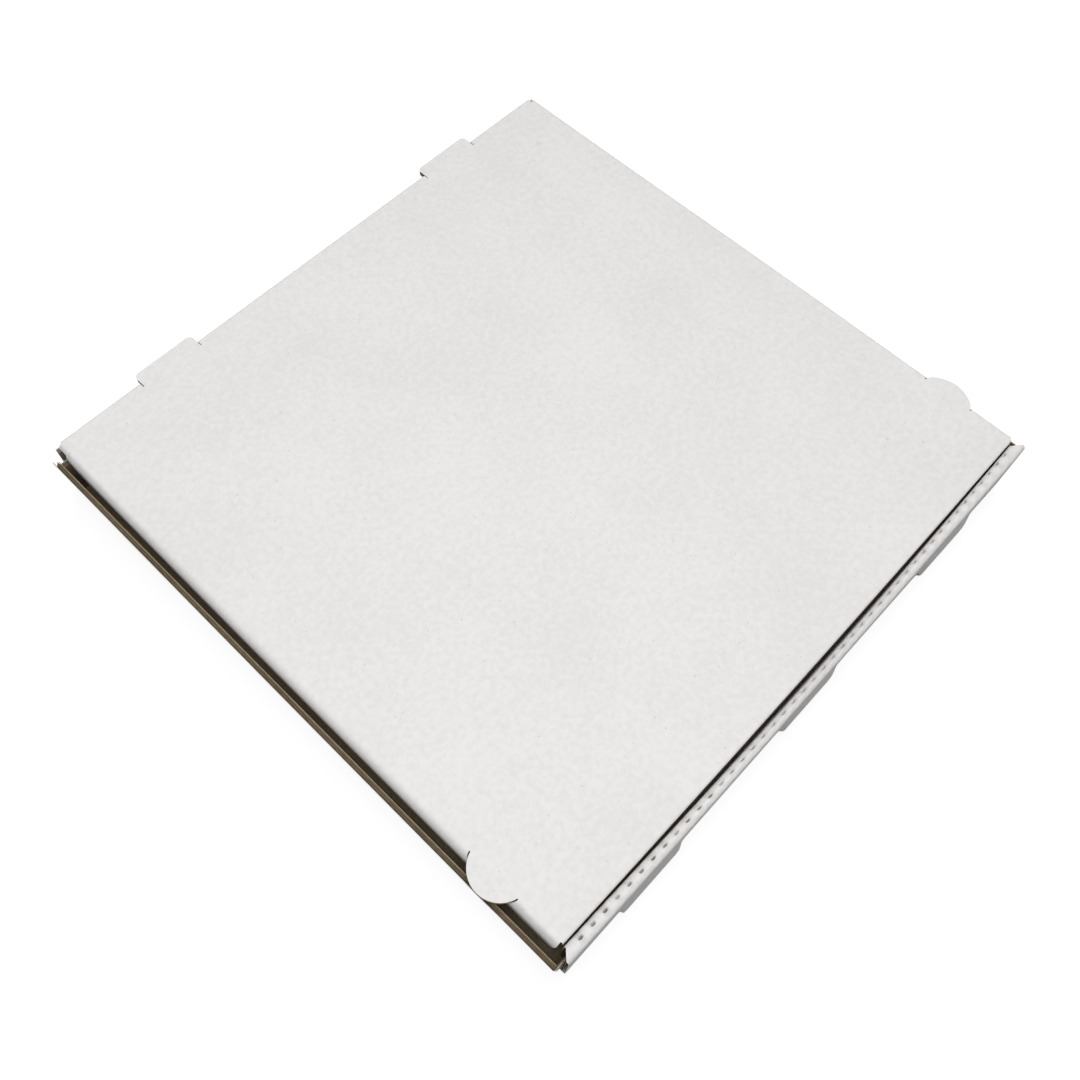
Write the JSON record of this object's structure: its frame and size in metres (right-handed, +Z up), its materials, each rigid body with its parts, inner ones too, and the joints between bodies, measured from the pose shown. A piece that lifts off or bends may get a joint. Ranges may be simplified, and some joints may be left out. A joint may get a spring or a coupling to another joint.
{
  "type": "pizza box",
  "caption": "Shallow square folding carton with a hinged tuck-in lid, for carrying a flat round pizza.",
  "frame": {"origin": "centre of the tray's underside, the face that the box rests on", "axes": "+X along the front edge, +Y from the front wall towards the hinge, +Z up out of the lid"},
  "size_m": [0.3144, 0.3147, 0.0345],
  "materials": {
    "white_lined_board": "matt, mottled white outer liner on corrugated board",
    "kraft_board": "matt brown kraft inner liner and cut edges"
  },
  "bodies": {
    "tray": {"tray": "white_lined_board"},
    "lid": {"lid": "white_lined_board"}
  },
  "joints": [
    {"name": "lid_hinge", "type": "hinge", "parent": "tray", "child": "lid", "pos_m": [0, 0.1528, 0.0332], "axis": [-1, 0, 0], "range_deg": [0, 180]}
  ]
}
